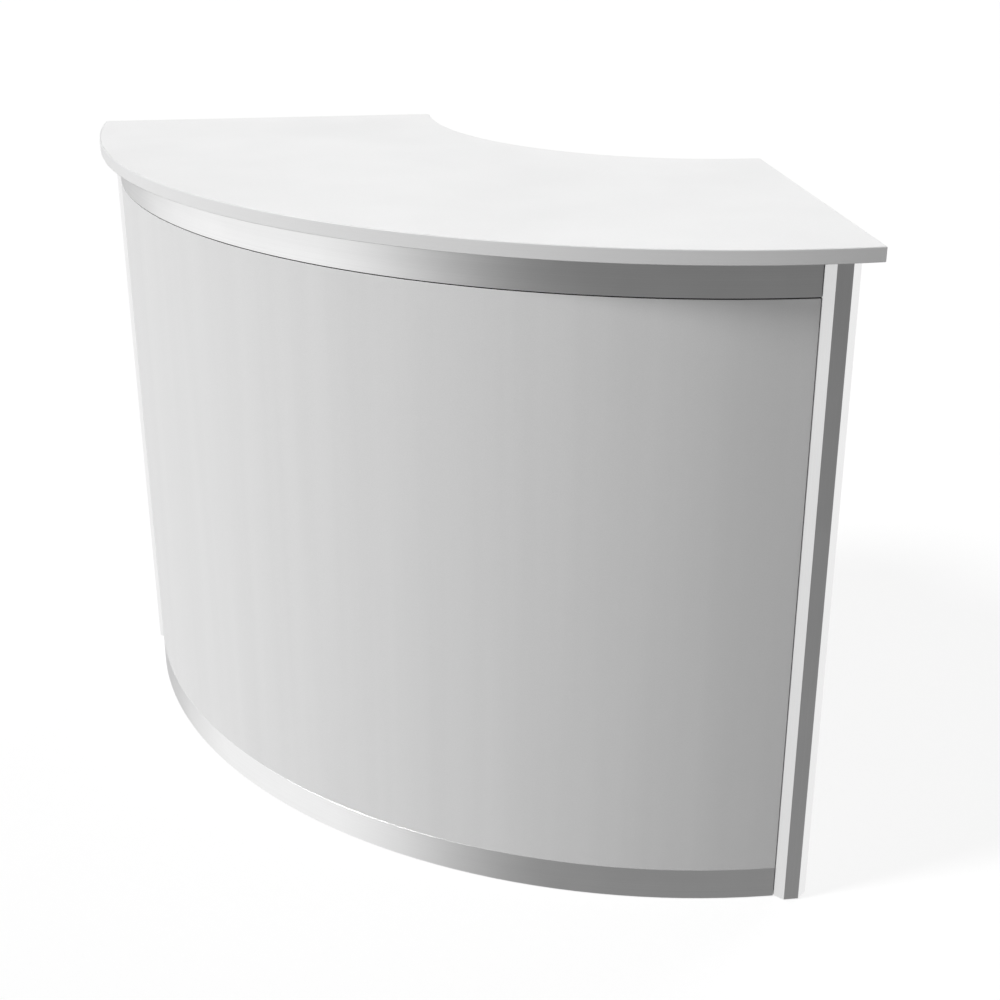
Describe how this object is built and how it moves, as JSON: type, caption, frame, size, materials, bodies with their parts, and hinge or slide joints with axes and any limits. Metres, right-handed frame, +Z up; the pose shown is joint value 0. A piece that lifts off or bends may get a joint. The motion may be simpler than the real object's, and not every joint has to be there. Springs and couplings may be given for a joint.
{
  "type": "reception desk",
  "caption": "Quarter-round reception desk: white worktop and curved front panel on an aluminium frame of octagonal uprights, with a shelf behind curved lockable doors.",
  "frame": {"origin": "on the floor under the centre of the worktop's bounding box", "axes": "+Z up, +X to the right seen from the front, +Y from the bulging front to the hollow rear"},
  "size_m": [1.4916, 0.7414, 1],
  "materials": {
    "white_board": "white melamine",
    "white_panel": "white laminate",
    "aluminium": "silver anodised, satin",
    "steel": "nickel plated",
    "black_plastic": "matt black"
  },
  "bodies": {
    "frame": {"worktop_board": "white_board", "worktop_edging_front": "white_board", "worktop_edging_rear": "white_board", "worktop_edging_left": "white_board", "worktop_edging_right": "white_board", "bottom_board": "white_board", "shelf": "white_board", "panel_front": "white_panel", "panel_left": "white_panel", "panel_right": "white_panel", "post_front_left": "aluminium", "post_front_right": "aluminium", "post_rear_left": "aluminium", "post_rear_right": "aluminium", "rail_top_left": "aluminium", "rail_top_right": "aluminium", "rail_bottom_left": "aluminium", "rail_bottom_right": "aluminium", "rail_front_top": "aluminium", "rail_front_bottom": "aluminium", "rail_rear_top": "aluminium", "rail_rear_bottom": "aluminium", "door_stop": "aluminium", "board_cleat_left": "aluminium", "board_cleat_right": "aluminium", "worktop_peg_front_left": "steel", "worktop_peg_front_right": "steel", "worktop_peg_rear_left": "steel", "worktop_peg_rear_right": "steel", "shelf_bracket_front_left": "steel", "shelf_bracket_front_right": "steel", "shelf_bracket_rear_left": "steel", "shelf_bracket_rear_right": "steel", "glide_front_left": "black_plastic", "glide_front_right": "black_plastic", "glide_rear_left": "black_plastic", "glide_rear_right": "black_plastic", "seal_front_top": "black_plastic", "seal_front_left": "black_plastic", "seal_front_right": "black_plastic", "seal_left_top": "black_plastic", "seal_left_front": "black_plastic", "seal_left_rear": "black_plastic", "seal_right_top": "black_plastic", "seal_right_front": "black_plastic", "seal_right_rear": "black_plastic"},
    "leaf_left": {"door_left": "white_panel", "door_pivot_top_left": "steel", "door_pivot_bottom_left": "steel", "lock_barrel_left": "steel", "door_pull_left": "aluminium"},
    "cam_left": {"lock_cam_left": "steel"},
    "leaf_right": {"door_right": "white_panel", "door_pivot_top_right": "steel", "door_pivot_bottom_right": "steel", "lock_barrel_right": "steel", "door_pull_right": "aluminium"},
    "cam_right": {"lock_cam_right": "steel"}
  },
  "joints": [
    {"name": "door_left_swing", "type": "hinge", "parent": "frame", "child": "leaf_left", "pos_m": [-0.30003, 0.29016, 0.49], "axis": [0, 0, 1], "range_deg": [0, 100]},
    {"name": "lock_left_turn", "type": "hinge", "parent": "leaf_left", "child": "cam_left", "pos_m": [-0.0325, 0.19141, 0.904], "axis": [0.0649, 0.9979, 0], "range_deg": [0, 90]},
    {"name": "door_right_swing", "type": "hinge", "parent": "frame", "child": "leaf_right", "pos_m": [0.30003, 0.29016, 0.49], "axis": [0, 0, -1], "range_deg": [0, 100]},
    {"name": "lock_right_turn", "type": "hinge", "parent": "leaf_right", "child": "cam_right", "pos_m": [0.0325, 0.19141, 0.904], "axis": [0.0649, -0.9979, 0], "range_deg": [0, 90]}
  ]
}
